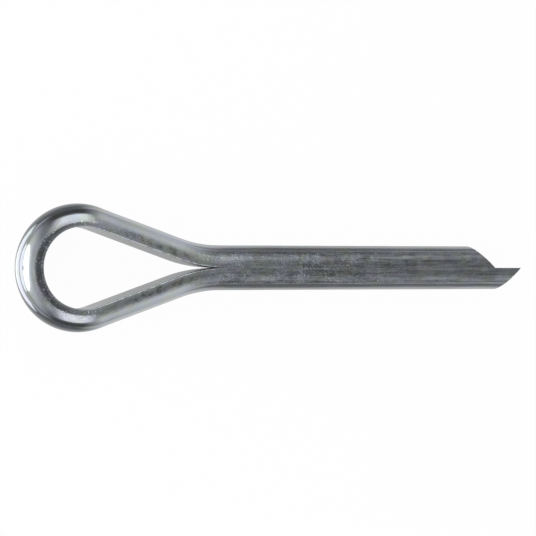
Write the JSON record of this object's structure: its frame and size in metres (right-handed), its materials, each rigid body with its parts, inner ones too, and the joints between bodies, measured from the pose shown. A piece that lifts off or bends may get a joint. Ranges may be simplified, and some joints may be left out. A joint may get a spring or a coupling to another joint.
{
  "type": "cotter pin",
  "caption": "Split pin of half-round wire folded flat side in, with a teardrop eye and slant-cut prongs, one longer than the other; it locks a castle nut or clevis pin through a cross hole.",
  "frame": {"origin": "on the shank's axis, at the end of the neck's bend, where the round shank begins", "axes": "+X along the prongs to their tips, +Y to the side of the short prong, +Z square to the plane of the eye"},
  "size_m": [0.0834, 0.0194, 0.007],
  "materials": {
    "zinc_plated_steel": "satin electroplated zinc with a faint blue-green passivation and lengthwise drawing marks"
  },
  "bodies": {
    "root": {"cotter_pin": "zinc_plated_steel"}
  },
  "joints": []
}
